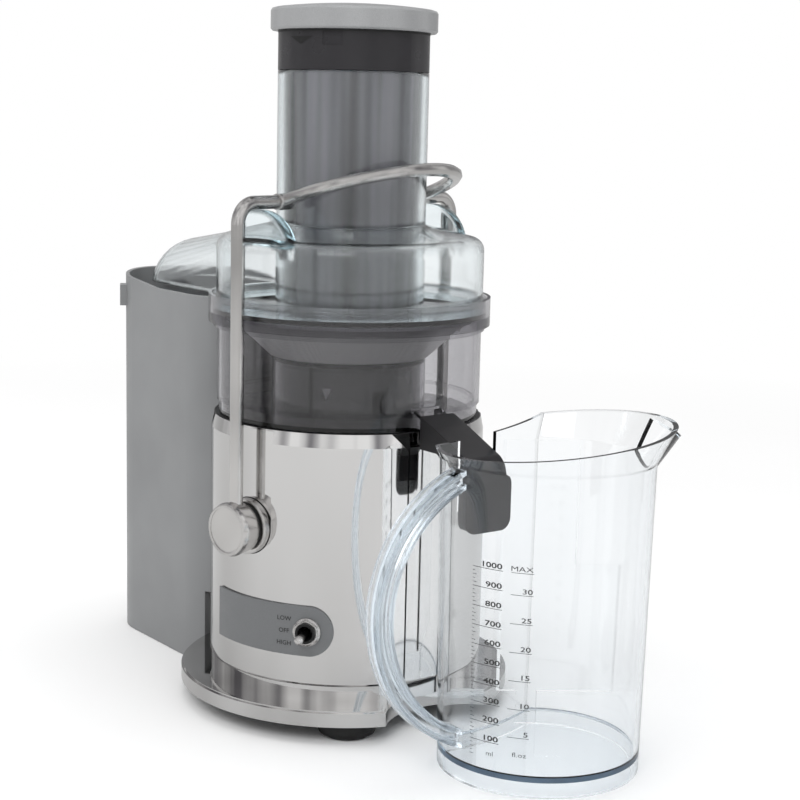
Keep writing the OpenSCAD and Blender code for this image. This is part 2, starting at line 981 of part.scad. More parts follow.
// The barrel at the foot of a leg, with the bore that runs on the pin.
module knob(side) {
    face_t = 3;
    color("silver")
        difference() {
            at_pivot(side)
                translate([0, 0, knob_y])
                    difference() {
                        union() {
                            cylinder(r1 = knob_r - 1.6, r2 = knob_r, h = knob_len);
                            translate([0, 0, knob_len])
                                cylinder(r1 = knob_r, r2 = knob_r - 1, h = face_t);
                        }
                        translate([0, 0, -1])
                            cylinder(r = pin_r, h = knob_len + 1);
                        translate([0, 0, knob_len + face_t - 0.5])
                            cylinder(r = knob_r - 2.5, h = 1);
                    }
            translate([0, side * leg_y, pivot_z + pin_r + 4])
                cylinder(r = rod_r + run, h = knob_r);
        }
}

module front_knob() { knob(-1); }
module rear_knob() { knob(1); }

// A rod that rises from the knob, bends inwards and ends at the loop.
module leg(side) {
    leg_low = pivot_z + pin_r + 4 + seat;
    color("silver")
        rotate([0, 0, side > 0 ? 0 : 180]) {
            translate([0, leg_y, leg_low])
                cylinder(r = rod_r, h = shoulder_z - bend_r - leg_low);
            translate([0, leg_y - bend_r, shoulder_z - bend_r])
                rotate([90, 0, 90])
                    rotate_extrude(angle = 90)
                        translate([bend_r, 0])
                            circle(r = rod_r);
            translate([0, leg_y - bend_r, shoulder_z])
                rotate([90, 0, 0])
                    cylinder(r = rod_r, h = leg_y - bend_r - loop_y - bar_w / 2 - 1);
        }
}

module front_leg() { leg(-1); }
module rear_leg() { leg(1); }

// The flat bar that bows round the chute, leaning up towards its tip.
module arm_loop() {
    bow_x = loop_x - loop_y;
    color("silver") {
        translate([0, 0, shoulder_z])
            rotate([0, -loop_tilt, 0]) {
                translate([bow_x, 0, 0])
                    rotate([0, 0, -90])
                        rotate_extrude(angle = 180)
                            loop_section();
                for (y = [0, -2 * loop_y])
                    translate([0, y, 0])
                        rotate([90, 0, 90])
                            linear_extrude(height = bow_x)
                                loop_section();
            }
        for (side = [-1, 1])
            translate([0, side * (loop_y - bar_w / 2), shoulder_z])
                rotate([side * -90, 0, 0])
                    cylinder(r = rod_r + 0.8, h = bar_w + 1 - seat / 2);
    }
}

// Section of the loop's bar, flat with bevelled edges.
module loop_section() {
    half_w = bar_w / 2;
    half_h = bar_h / 2;
    bevel = bar_h * 0.3;
    translate([loop_y, 0])
        polygon([[-half_w, -half_h + bevel], [-half_w + bevel, -half_h],
                 [half_w - bevel, -half_h], [half_w, -half_h + bevel],
                 [half_w, half_h - bevel], [half_w - bevel, half_h],
                 [-half_w + bevel, half_h], [-half_w, half_h - bevel]]);
}

// ---- bowl, spout and nozzle ----

// Puts its children on the spout's line, with +X pointing at the jug.
module at_spout() {
    rotate([0, 0, spout_turn])
        children();
}

module bowl() {
    base_r = bowl_r - 1.5;
    color([0.35, 0.35, 0.38, 0.55])
        difference() {
            union() {
                difference() {
                    translate([0, 0, bowl_z])
                        rotate_extrude()
                            bowl_profile(base_r);
                    at_spout()
                        side_slab(spout_w / 2 - bowl_wall)
                            spout_side(bowl_wall, bowl_in - 4, spout_reach + 1);
                }
                at_spout()
                    difference() {
                        side_slab(spout_w / 2)
                            spout_side(0, bowl_in - 1, spout_reach);
                        side_slab(spout_w / 2 - bowl_wall)
                            spout_side(bowl_wall, bowl_in - 2, spout_reach + 1);
                    }
            }
            for (turn = [35, 155, 275])
                rotate([0, 0, turn])
                    translate([well_r + 4, 0, bowl_z])
                        block([10, 2.4, 1]);
            rotate([0, 0, bin_turn])
                translate([rim_r, 0, bowl_top])
                    block([90, 2 * hood_half + 4, rim_rise + 1]);
        }
}

// Carries a side view to half_w on each side of the spout's line.
module side_slab(half_w) {
    rotate([90, 0, 0])
        translate([0, 0, -half_w])
            linear_extrude(height = 2 * half_w)
                children();
}

// Height of the spout's sloping top at x.
function spout_line(x) =
    spout_root - (x - bowl_in) * (spout_root - spout_tip) / (spout_reach - bowl_in);

// Side view of the spout from x0 to x1: it steps down outside the panels.
module spout_side(inset, x0, x1) {
    polygon([[x0, bowl_z + inset], [droop_x + inset, bowl_z + inset],
             [droop_x + inset, spout_low + inset], [x1, spout_low + inset],
             [x1, spout_line(x1) - inset], [x0, spout_line(x0) - inset]]);
}

// Half section of the bowl: well, channel floor, wall and rim.
module bowl_profile(base_r) {
    step_h = 11;
    well_h = well_top - bowl_z;
    translate([well_in, 0])
        square([well_r - well_in, well_h + bowl_wall]);
    translate([well_in, 0])
        square([base_r - well_in, bowl_wall]);
    translate([base_r - bowl_wall, 0])
        square([bowl_wall, step_h]);
    translate([base_r - bowl_wall, step_h - bowl_wall])
        square([bowl_r - base_r + bowl_wall, bowl_wall]);
    translate([bowl_in, step_h - bowl_wall])
        square([bowl_wall, bowl_h - step_h + bowl_wall]);
    translate([hub_hole_r, well_h])
        square([well_r - hub_hole_r, bowl_wall]);
    translate([bowl_in, bowl_h - rim_h])
        square([rim_r - bowl_in, rim_h]);
    translate([rim_in, bowl_h - rim_h])
        square([rim_r - rim_in, rim_h + rim_rise]);
    translate([bowl_in, bowl_h - rim_h - 3])
        square([bowl_r + 2 - bowl_in, 4]);
}

module bowl_seal() {
    color([0.12, 0.12, 0.13])
        tube(flange_r, bowl_in + 1, seal_h, seal_z);
}

// Side view of the nozzle: a sleeve over the spout, a sloping neck and a rounded brow.
module neck_side(inset) {
    sleeve_x = spout_reach - sleeve_len - inset;
    over = spout_gap + nozzle_wall - inset;
    brow = [for (a = [66 : -6 : 0])
            [flap_reach - brow_r + (brow_r - inset) * cos(a), brow_z + (brow_r - inset) * sin(a)]];
    polygon(concat([[elbow_x, neck_low + inset], [sleeve_x, neck_low + inset],
                    [sleeve_x, spout_line(sleeve_x) + over],
                    [spout_reach, spout_line(spout_reach) + over]],
                   brow,
                   [[flap_reach - inset, mouth_z - inset],
                    [flap_reach - mouth_d + inset, mouth_z - inset],
                    [flap_reach - mouth_d + inset, mouth_z + inset / 2]]));
}

// The flap that hangs inside the jug, open at the back and below.
module nozzle_flap() {
    corner = 7;
    top_z = brow_z + 2;
    difference() {
        translate([flap_reach - flap_d, 0, 0])
            rotate([90, 0, 90])
                linear_extrude(height = flap_d)
                    translate([0, (flap_low + top_z) / 2])
                        rotate([0, 0, 90])
                            rounded_outline((flap_low - top_z) / 2, (top_z - flap_low) / 2,
                                            flap_w, corner);
        translate([flap_reach - nozzle_wall - flap_d - 1, nozzle_wall - flap_w / 2,
                   flap_low - 1])
            cube([flap_d + 1, flap_w - 2 * nozzle_wall, brow_z - flap_low]);
    }
}

// The dark nozzle that turns the juice down into the jug.
module spout_nozzle() {
    color([0.2, 0.2, 0.22])
        at_spout()
            difference() {
                union() {
                    side_slab(sleeve_half)
                        neck_side(0);
                    nozzle_flap();
                }
                side_slab(sleeve_half - nozzle_wall)
                    neck_side(nozzle_wall);
            }
}

// ---- filter ----

// The dark hub under the filter, with a socket and three ribs for the drive dog.
module filter_hub() {
    hub_z = tower_top + 2.6;
    color([0.2, 0.2, 0.22])
        translate([0, 0, hub_z])
            difference() {
                union() {
                    cylinder(r = hub_r, h = floor_z - hub_z - seat);
                    cylinder(r = hub_dome_r, h = coupling_h);
                    cylinder(r1 = hub_dome_r, r2 = hub_dome_r - 3, h = coupling_h + 1.2);
                }
                difference() {
                    translate([0, 0, -1])
                        cylinder(r = socket_r, h = coupling_h - 0.4);
                    for (turn = [60 : 120 : 300])
                        rotate([0, 0, turn])
                            translate([8.6, -2, -2])
                                cube([6, 4, coupling_h + 4]);
                }
            }
}

// The steel basket: floor, perforated cone and turned rim.
module filter_basket() {
    slot_len = 8;
    slot_w = 3;
    rings = 2;
    lean = atan2(filter_rim_r - filter_floor_r, filter_h);
    wall_len = filter_h / cos(lean);
    color("silver")
        difference() {
            translate([0, 0, floor_z])
                rotate_extrude()
                    polygon([[hub_dome_r + seat, 0], [filter_floor_r, 0],
                             [filter_rim_r - 2, filter_h - 2], [filter_rim_r, filter_h - 2],
                             [filter_rim_r, filter_h], [filter_rim_r - 3, filter_h],
                             [filter_floor_r - 0.8, filter_wall],
                             [hub_dome_r + seat, filter_wall]]);
            for (ring = [1 : rings], slot = [1 : filter_slots])
                rotate([0, 0, (slot + ring / 2) * 360 / filter_slots])
                    translate([filter_floor_r, 0, floor_z])
                        rotate([0, lean, 0])
                            block([8, slot_w, slot_len],
                                  wall_len * ring / (rings + 1) - slot_len / 2 + 0.5);
        }
}

// The cutting disc: a thin plate with curved arms of raised teeth.
module cutting_disc() {
    tooth_w = 2.4;
    color("silver")
        translate([0, 0, disc_z]) {
            difference() {
                cylinder(r = disc_r, h = disc_t);
                translate([0, 0, -1])
                    cylinder(r = hub_dome_r + seat, h = disc_t + 2);
                for (arm = [1 : tooth_arms], n = [1 : 2 : teeth_per_arm])
                    at_tooth(arm + 0.5, n)
                        translate([0, 0, -1])
                            cylinder(r = 1.3, h = disc_t + 2);
            }
            for (arm = [1 : tooth_arms], n = [1 : teeth_per_arm])
                at_tooth(arm, n)
                    translate([0, tooth_w / 2, disc_t])
                        rotate([90, 0, 0])
                            linear_extrude(height = tooth_w)
                                polygon([[-1.5, -0.1], [1.5, -0.1], [1.1, tooth_h]]);
        }
}

// Puts its children at tooth n of a curved arm on the cutting disc.
module at_tooth(arm, n) {
    step = (disc_r - hub_dome_r - 5) / teeth_per_arm;
    rotate([0, 0, arm * 360 / tooth_arms + 9 * n])
        translate([hub_dome_r + 1.5 + n * step, 0, 0])
            rotate([0, 0, 60])
                children();
}

// ---- cover and pusher ----

// Half section of the cover: flange, wall, shoulder, top and chute.
module cover_profile() {
    top = cover_h - shoulder_r;
    shoulder_x = cover_r - shoulder_r;
    translate([bowl_in - 4, 0])
        square([flange_r - bowl_in + 4, flange_h - 4]);
    translate([cover_r - cover_wall, 0])
        square([cover_wall + 2, flange_h]);
    translate([cover_r - cover_wall, flange_h - 4])
        square([cover_wall, top - flange_h + 4]);
    intersection() {
        translate([shoulder_x, top])
            difference() {
                circle(r = shoulder_r);
                circle(r = shoulder_r - cover_wall);
            }
        translate([shoulder_x, top])
            square(shoulder_r);
    }
    polygon([[shoulder_x, cover_h], [chute_r, cover_h + cover_rise],
             [chute_r - 1, cover_h + cover_rise], [chute_r - 1, cover_h + cover_rise - cover_wall],
             [shoulder_x, cover_h - cover_wall]]);
    translate([chute_in, chute_low - flange_z])
        square([chute_wall, chute_top - chute_low]);
}

// The tunnel and dome that throw the pulp down into the bin.
module hood_form(inset) {
    wall_top = cover_top + hood_rise;
    arch_r = 14;
    arch_low = flange_z + 6;
    rotate([0, 0, bin_turn])
        hull() {
            translate([hood_from, 0, 0])
                rotate([90, 0, 90])
                    linear_extrude(height = 1)
                        for (side = [-1, 1]) {
                            translate([side * (hood_half - arch_r), wall_top - arch_r])
                                circle(r = arch_r - inset, $fn = hull_fn);
                            translate([side * (hood_half - inset - 1), arch_low - inset])
                                circle(r = 1, $fn = hull_fn);
                        }
            translate([hood_reach, 0, hood_z - 6])
                sphere(r = hood_half - inset, $fn = 40);
        }
}

// A clear ear under the arm's shoulder, from y to y + ear_w, sloping down on the jug's side.
module ear(y) {
    ear_low = cover_top - 10;
    ear_h = ear_z - ear_low;
    corner = 5;
    translate([0, y + ear_w, ear_low])
        rotate([90, 0, 0])
            linear_extrude(height = ear_w) {
                translate([-15, 0])
                    square([15, ear_h - corner]);
                translate([-10, 0])
                    square([10, ear_h]);
                translate([-10, ear_h - corner])
                    circle(r = corner);
                intersection() {
                    circle(r = ear_h);
                    square(ear_h);
                }
            }
}

module cover() {
    color([0.8, 0.9, 0.93, 0.35])
        difference() {
            union() {
                difference() {
                    union() {
                        hood_form(0);
                        ear(ear_y0);
                        ear(-ear_y0 - ear_w);
                    }
                    translate([0, 0, flange_z - cut_l])
                        cylinder(r = cover_r - cover_wall + 0.2, h = cover_h + cut_l - 2);
                    translate([0, 0, cover_top - cover_wall + 0.2])
                        cylinder(r1 = cover_r - shoulder_r, r2 = chute_r - 1, h = cover_rise);
                    translate([0, 0, flange_z - cut_l])
                        cylinder(r = flange_r + 3, h = cut_l + flange_h - 0.5);
                    rotate([0, 0, bin_turn])
                        block([500, 200, hood_z]);
                }
                translate([0, 0, flange_z])
                    rotate_extrude()
                        cover_profile();
            }
            difference() {
                hood_form(cover_wall);
                cylinder(r = chute_r + 2, h = 400);
                cylinder(r = flange_r + 1, h = flange_z + flange_h);
            }
        }
}

module pusher_body() {
    color([0.16, 0.16, 0.18, 0.9])
        difference() {
            translate([0, 0, pusher_low])
                cylinder(r1 = pusher_r - 1.5, r2 = pusher_r, h = collar_z - pusher_low);
            translate([0, 0, pusher_low + 3])
                cylinder(r1 = pusher_r - 4.5, r2 = pusher_r - 3, h = collar_z - pusher_low);
        }
}

module pusher_collar() {
    color([0.2, 0.2, 0.23])
        difference() {
            union() {
                translate([0, 0, collar_z + seat])
                    cylinder(r = chute_r, h = collar_h - seat);
                translate([0, 0, collar_z - 3])
                    cylinder(r = pusher_r - 3.4, h = 4);
            }
            translate([0, 0, collar_z - 4])
                cylinder(r = pusher_r - 6, h = collar_h + 1);
            rotate([0, 0, -63])
                translate([chute_r, 0, collar_z + collar_h - 9])
                    block([1.6, 12, 10]);
        }
}

module pusher_cap() {
    crown = 3;
    top_r = cap_r - 3;
    dome_r = (top_r * top_r + crown * crown) / (2 * crown);
    color([0.72, 0.73, 0.75])
        translate([0, 0, cap_z])
            difference() {
                rotate_extrude() {
                    polygon([[0, 0], [cap_r - 1, 0], [cap_r, 1.2], [cap_r, cap_h - 5],
                             [cap_r - 0.8, cap_h - 3.6], [top_r, cap_h - crown],
                             [0, cap_h - crown]]);
                    intersection() {
                        translate([0, cap_h - dome_r])
                            circle(r = dome_r, $fn = 900);
                        translate([0, cap_h - crown - 0.5])
                            square([top_r, crown + 2]);
                    }
                }
                translate([0, 0, -1])
                    cylinder(r = cap_r - 8, h = cap_h - crown - 1.5);
            }
}

// ---- pulp bin ----

module bin_outline(inset) {
    rounded_outline(inset, bin_len - inset, bin_w - 2 * inset, bin_corner_r - inset);
}

module pulp_bin() {
    low_near = tray_r + bin_gap;
    step_z = tray_top + 28;
    floor_t = 3;
    color([0.6, 0.6, 0.62])
        rotate([0, 0, bin_turn])
            difference() {
                union() {
                    translate([bin_x, 0, 0])
                        linear_extrude(height = bin_h + bin_rise)
                            bin_outline(0);
                    for (side = [-1, 1])
                        translate([bin_x + bin_len - bin_corner_r,
                                   side * (bin_w / 2 - bin_corner_r), bin_h - 16])
                            rotate([0, 0, side * lug_turn])
                                translate([bin_corner_r, 0, 0])
                                    block([8, 14, 14]);
                }
                difference() {
                    translate([bin_x, 0, floor_t])
                        linear_extrude(height = bin_h + bin_rise)
                            bin_outline(bin_wall);
                    cylinder(r = bin_near + bin_wall, h = bin_h + bin_rise + 4);
                    cylinder(r = low_near + bin_wall, h = step_z + bin_wall);
                }
                translate([0, 0, -1])
                    cylinder(r = bin_near, h = bin_h + bin_rise + 4);
                side_slab(bin_w)
                    polygon([[0, bin_h], [bin_level, bin_h],
                             [bin_x + bin_len + 10, bin_h + bin_rise],
                             [bin_x + bin_len + 10, bin_h + 40], [0, bin_h + 40]]);
                translate([0, 0, -1])
                    cylinder(r = low_near, h = step_z + 1);
            }
}

// ---- jug ----

// Puts its children on the jug's own axis.
module at_jug() {
    translate([jug_x, jug_y, 0])
        children();
}

// The jug's outer form, or its hollow when inset by the wall.
module jug_form(inset, low) {
    top_r = jug_top_r - inset;
    translate([0, 0, low])
        cylinder(r1 = jug_r - inset, r2 = top_r, h = flare_z - low);
    translate([0, 0, flare_z])
        cylinder(r1 = top_r, r2 = top_r + flare_rise * flare_lean, h = flare_rise);
    rotate([0, 0, lip_turn])
        translate([top_r - 27, 0, flare_z])
            rotate([0, 36, 0])
                translate([0, 0, -8])
                    cylinder(r = 26, h = 42);
}

module jug() {
    color([0.75, 0.87, 0.93, 0.3])
        difference() {
            at_jug()
                jug_form(0, 0);
            difference() {
                at_jug()
                    jug_form(jug_wall, jug_floor);
                cylinder(r = jug_hollow_r + jug_wall, h = jug_h + 30);
            }
            translate([0, 0, -1])
                cylinder(r = jug_hollow_r, h = jug_h + 30);
            rotate([0, 0, spout_turn])
                translate([jug_hollow_r - 6, -notch_w / 2, notch_z])
                    cube([12, notch_w, jug_h]);
            at_jug()
                translate([0, 0, jug_h])
                    rotate([0, 0, lip_turn])
                        rotate([0, -rim_tilt, 0])
                            block([300, 300, 60]);
            difference() {
                at_jug()
                    translate([0, 0, -1])
                        cylinder(r = jug_r - jug_foot_t, h = jug_recess + 1);
                translate([0, 0, -2])
                    cylinder(r = jug_hollow_r + jug_foot_t, h = jug_recess + 3);
            }
        }
}

// The handle's plane, with +X pointing out of the jug and the bow's centre at the origin.
module at_handle() {
    at_jug()
        rotate([0, 0, handle_turn])
            translate([handle_in, 0, handle_mid])
                children();
}

module jug_handle() {
    fit = seat / 4;
    color([0.6, 0.78, 0.88, 0.45])
        difference() {
            at_handle()
                rotate([90, 0, 0])
                    rotate([0, 0, -90])
                        rotate_extrude(angle = 180)
                            handle_section();
            at_jug()
                cylinder(r1 = jug_r + fit, r2 = jug_top_r + fit, h = flare_z);
            at_jug()
                translate([0, 0, flare_z])
                    cylinder(r1 = jug_top_r + fit,
                             r2 = jug_top_r + fit + flare_rise * flare_lean, h = flare_rise);
        }
}

// Section of the handle's bar: a bar with a groove along each side.
module handle_section() {
    groove = handle_w / 4;
    lip = handle_d * 0.28;
    translate([handle_r - handle_d, -handle_w / 2])
        difference() {
            square([handle_d, handle_w]);
            for (y = [-1, handle_w - groove])
                translate([lip, y])
                    square([handle_d - 2 * lip, groove + 1]);
        }
}

// The plate that holds back the froth when the juice is poured.
module froth_separator() {
    tab_w = 52;
    tab_top = 180;
    plate_top = 108;
    sheet_t = 2;
    color([0.8, 0.9, 0.95, 0.4])
        difference() {
            translate([jug_x - 23, jug_y + 18, 0])
                rotate([0, 0, separator_turn])
                    rotate([90, 0, 0])
                        linear_extrude(height = sheet_t)
                            separator_outline(tab_w, tab_top, plate_top);
            difference() {
                cylinder(r = 400, h = jug_h);
                at_jug()
                    translate([0, 0, jug_floor + seat])
                        cylinder(r1 = jug_r - jug_wall - 0.5, r2 = jug_top_r - jug_wall - 0.5,
                                 h = jug_h - jug_floor);
            }
            cylinder(r = jug_hollow_r + jug_wall + 0.5, h = jug_h);
        }
}

module separator_outline(tab_w, tab_top, plate_top) {
    low = 32;
    translate([-80, low])
        square([160, plate_top - low]);
    translate([-tab_w / 2, plate_top - 10])
        square([tab_w, tab_top - plate_top + 5]);
    for (side = [-1, 1])
        translate([side * (tab_w / 2 - 5), tab_top - 5])
            circle(r = 5);
    translate([5 - tab_w / 2, tab_top - 5])
        square([tab_w - 10, 5]);
    translate([-6, low - 24])
        square([12, 26]);
}

// ---- nodes ----

base_tray();
base_plate();
base_screws();
foot_front_right();
foot_front_left();
foot_rear_right();
foot_rear_left();
cord_gland();
motor_housing();
front_panel();
rear_panel();
jug_side_panel();
bin_side_panel();
top_deck();
alignment_arrow();
control_plate();
switch_body();
toggle_nut();
toggle_lever();
control_board();
interlock_switch();
motor_pads();
lower_bracket();
lower_bearing();
motor_stator();
field_coils();
upper_bracket();
upper_bearing();
bracket_screws();
brush_holders();
carbon_brushes();
motor_shaft();
armature();
commutator();
cooling_fan();
shaft_seal();
drive_coupling();
front_pivot();
rear_pivot();
front_washer();
rear_washer();
front_knob();
rear_knob();
front_leg();
rear_leg();
arm_loop();
bowl();
bowl_seal();
spout_nozzle();
filter_hub();
filter_basket();
cutting_disc();
cover();
pusher_body();
pusher_collar();
pusher_cap();
pulp_bin();
jug();
jug_handle();
froth_separator();
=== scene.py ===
import json
import math

import bpy
from mathutils import Matrix, Vector


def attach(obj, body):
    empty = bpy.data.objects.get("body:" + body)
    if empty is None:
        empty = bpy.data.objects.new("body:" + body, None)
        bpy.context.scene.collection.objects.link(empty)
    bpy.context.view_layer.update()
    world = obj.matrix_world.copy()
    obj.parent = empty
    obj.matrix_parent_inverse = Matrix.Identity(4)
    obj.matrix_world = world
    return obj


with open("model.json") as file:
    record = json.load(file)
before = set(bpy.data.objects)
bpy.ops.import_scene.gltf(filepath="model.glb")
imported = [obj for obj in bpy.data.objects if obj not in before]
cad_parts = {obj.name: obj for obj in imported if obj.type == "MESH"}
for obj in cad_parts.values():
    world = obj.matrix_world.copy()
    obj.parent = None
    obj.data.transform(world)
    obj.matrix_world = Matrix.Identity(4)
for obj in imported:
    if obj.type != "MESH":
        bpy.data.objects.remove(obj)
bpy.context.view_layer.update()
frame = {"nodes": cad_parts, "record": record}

MM = 0.001

# ---- where the camera stands and how it looks ----
CAMERA_AT = Vector((716.1, -767.9, 361.2)) * MM
SENSOR = 36.0
PHOTO_WIDTH = 800
FOCAL_PIXELS = 1719.08
FOCAL = SENSOR * FOCAL_PIXELS / PHOTO_WIDTH
BASE_TURN = math.radians(43)
YAW = 0.0306832
PITCH = 0.165103
ROLL = 0.0227961

# ---- sizes repeated from the solids, in millimetres ----
PLATE_R = 85.64
COLLAR_R = 45.45
COLLAR_TOP = 408.2
JUG_AT = Vector((163.7, -12.6))
JUG_R = 57.0
JUG_TOP_R = 60.0
FLARE_Z = 176.0
MOTOR_HOLLOW_R = 126.0

# ---- skins that the solids don't have: (radius, height) of each ring, or heights alone ----
FILTER_SKIN = ((48.9, 215.15), (73.3, 237.85))
# the cap's painted shadow line: a black band standing for the shade under the cap's overhang
CAP_SHADOW_DEPTH = 1.1
# the jug's painted band: opaque slate blue where the thick floor's edge gathers light and shade
PAINTED_BAND_Z = (8.8, 11.7)
PAINTED_BAND_INSIDE_WALL = 0.6
PAINTED_BAND_FROM_HOLLOW = 3.0

# ---- light ----
CLEAR_IOR = 1.49
SEPARATOR_IOR = 1.14
WORLD_LIGHT = 0.75
WORLD_MIRRORED = 0.95
BAND_DARK = (0.2, 0.195, 0.21, 1)
WHITE = (1, 1, 1, 1)
FLOOR_FOR_LIGHT = 0.62
FLOOR_Z = -0.0002
FLOOR_RINGS = (0.6, 1.4, 3.0, 8.0)
FLOOR_SIDES = 96

# ---- nodes that look a little different from the rest of their slot ----
OWN_LOOK = {"control_plate": "plate_silver", "spout_nozzle": "nozzle_plastic",
            "pusher_body": "pusher_smoke_painted_streaks", "jug_handle": "clear_handle",
            "froth_separator": "thin_clear"}

# ---- the jug's scale: heights in millimetres, sides in degrees round the jug ----
SCALE_LOW = 17.5
SCALE_STEP = 10.7
SCALE_LEFT = -93.5
SCALE_RIGHT = -75.0
OUNCE_LEFT = -70.5
OUNCE_RIGHT = -58.5
OUNCE_MARKS = (("MAX", 10.0), ("30", 8.87), ("25", 7.39), ("20", 5.91), ("15", 4.44),
               ("10", 2.96), ("5", 1.48))
INK_LIFT = 0.06

# ---- the switch's words ----
SWITCH_WORDS = (("LOW", 67.6), ("OFF", 60.2), ("HIGH", 52.8))
SWITCH_WORDS_AT = -71.2
PLATE_INK_LIFT = 0.05

# ---- the collar's chevron ----
CHEVRON_AT = -89.8
CHEVRON_HALF = 9.0
CHEVRON_DEEP = 4.6
CHEVRON_BELOW_TOP = 4.0
CHEVRON_STEPS = 12


# ------------------------------------------------------------------ materials
def mixed(nodes, links, share, first, second):
    """first where share is 0, and second where it is 1."""
    mix = nodes.new("ShaderNodeMixShader")
    links.new(share, mix.inputs["Fac"])
    links.new(first, mix.inputs[1])
    links.new(second, mix.inputs[2])
    return mix.outputs["Shader"]


def seen_directly(nodes, links):
    """1 for a ray from the camera or through clear plastic, and 0 for any other."""
    ray = nodes.new("ShaderNodeLightPath")
    either = nodes.new("ShaderNodeMath")
    either.operation = "MAXIMUM"
    links.new(ray.outputs["Is Camera Ray"], either.inputs[0])
    links.new(ray.outputs["Is Transmission Ray"], either.inputs[1])
    return either.outputs["Value"]


class Shader:
    """A material with its principled shader, and short ways to add procedural detail to it."""

    def __init__(self, name, colour, roughness, **sockets):
        self.material = bpy.data.materials.new(name)
        self.material.use_nodes = True
        self.nodes = self.material.node_tree.nodes
        self.links = self.material.node_tree.links
        self.bsdf = self.nodes["Principled BSDF"]
        self.output = self.nodes["Material Output"]
        self.bsdf.inputs["Base Color"].default_value = (*colour, 1)
        self.bsdf.inputs["Roughness"].default_value = roughness
        for socket, value in sockets.items():
            self.bsdf.inputs[socket.replace("_", " ")].default_value = value
        self.place = self.nodes.new("ShaderNodeTexCoord").outputs["Object"]
        self.normal = None

    def stretched(self, scale):
        """The piece's own coordinates in metres, scaled along each axis."""
        mapping = self.nodes.new("ShaderNodeMapping")
        mapping.inputs["Scale"].default_value = scale
        self.links.new(self.place, mapping.inputs["Vector"])
        return mapping.outputs["Vector"]

    def noise(self, scale, detail=3.0, stretch=(1, 1, 1)):
        texture = self.nodes.new("ShaderNodeTexNoise")
        texture.inputs["Scale"].default_value = scale
        texture.inputs["Detail"].default_value = detail
        self.links.new(self.stretched(stretch), texture.inputs["Vector"])
        return texture.outputs["Fac"]

    def dots(self, scale):
        texture = self.nodes.new("ShaderNodeTexVoronoi")
        texture.inputs["Scale"].default_value = scale
        texture.inputs["Randomness"].default_value = 0.15
        self.links.new(self.place, texture.inputs["Vector"])
        return texture.outputs["Distance"]

    def ranged(self, value, low, high, start=0.3, end=0.7):
        """value, between start and end, spread from low to high."""
        spread = self.nodes.new("ShaderNodeMapRange")
        spread.inputs["From Min"].default_value = start
        spread.inputs["From Max"].default_value = end
        spread.inputs["To Min"].default_value = low
        spread.inputs["To Max"].default_value = high
        self.links.new(value, spread.inputs["Value"])
        return spread.outputs["Result"]

    def rough(self, value, low, high):
        self.links.new(self.ranged(value, low, high), self.bsdf.inputs["Roughness"])
        return self

    def tint(self, value, dark, light, start=0.35, end=0.65):
        """The colour goes from dark to light with value."""
        ramp = self.nodes.new("ShaderNodeValToRGB")
        ramp.color_ramp.elements[0].position = start
        ramp.color_ramp.elements[1].position = end
        ramp.color_ramp.elements[0].color = (*dark, 1)
        ramp.color_ramp.elements[1].color = (*light, 1)
        self.links.new(value, ramp.inputs["Fac"])
        self.links.new(ramp.outputs["Color"], self.bsdf.inputs["Base Color"])
        return self

    def round_edges(self, radius_mm):
        bevel = self.nodes.new("ShaderNodeBevel")
        bevel.samples = 6
        bevel.inputs["Radius"].default_value = radius_mm * MM
        self.normal = bevel.outputs["Normal"]
        self.links.new(self.normal, self.bsdf.inputs["Normal"])
        return self

    def bump(self, value, depth_mm, strength=1.0):
        node = self.nodes.new("ShaderNodeBump")
        node.inputs["Strength"].default_value = strength
        node.inputs["Distance"].default_value = depth_mm * MM
        self.links.new(value, node.inputs["Height"])
        if self.normal is not None:
            self.links.new(self.normal, node.inputs["Normal"])
        self.normal = node.outputs["Normal"]
        self.links.new(self.normal, self.bsdf.inputs["Normal"])
        return self

    def lets_light_through(self, share):
        """The piece casts the pale shadow of clear plastic, not the dark one of a solid."""
        clear = self.nodes.new("ShaderNodeBsdfTransparent")
        clear.inputs["Color"].default_value = (share, share, share, 1)
        ray = self.nodes.new("ShaderNodeLightPath")
        return self.shows(mixed(self.nodes, self.links, ray.outputs["Is Shadow Ray"],
                                self.bsdf.outputs["BSDF"], clear.outputs["BSDF"]))

    def shows(self, shader):
        self.links.new(shader, self.output.inputs["Surface"])
        return self

    def absorbs(self, colour, density):
        volume = self.nodes.new("ShaderNodeVolumeAbsorption")
        volume.inputs["Color"].default_value = (*colour, 1)
        volume.inputs["Density"].default_value = density
        self.links.new(volume.outputs["Volume"], self.output.inputs["Volume"])
        return self


def grey(value, warm=0.0):
    return (value * (1 + warm), value, value * (1 - warm))


def polished_steel():
    s = Shader("polished_steel", grey(0.66, 0.012), 0.05, Metallic=1.0)
    s.rough(s.noise(38, 4), 0.035, 0.08)
    s.tint(s.noise(17, 1.5, (1, 1, 0.12)), grey(0.54, 0.014), grey(0.76, 0.008), 0.3, 0.7)
    return s.bump(s.noise(7, 1), 0.12, 0.35)


def arm_steel():
    s = Shader("arm_steel", grey(0.56, 0.02), 0.12, Metallic=1.0)
    s.round_edges(2.4)
    s.rough(s.noise(60, 4), 0.09, 0.17)
    s.tint(s.noise(14, 2), grey(0.48, 0.02), grey(0.64, 0.02))
    return s.bump(s.noise(500, 3, (1, 1, 0.08)), 0.01, 0.3)


def filter_steel():
    s = Shader("filter_steel", grey(0.7), 0.4, Metallic=0.35)
    s.rough(s.noise(90, 3), 0.28, 0.45)
    s.tint(s.dots(900), grey(0.45), grey(0.85), 0.15, 0.4)
    return s.bump(s.dots(900), 0.05, 0.6)


def plain_steel():
    s = Shader("plain_steel", grey(0.5), 0.35, Metallic=1.0)
    s.rough(s.noise(200, 3), 0.28, 0.45)
    return s.bump(s.noise(900, 2, (1, 1, 0.05)), 0.01, 0.4)


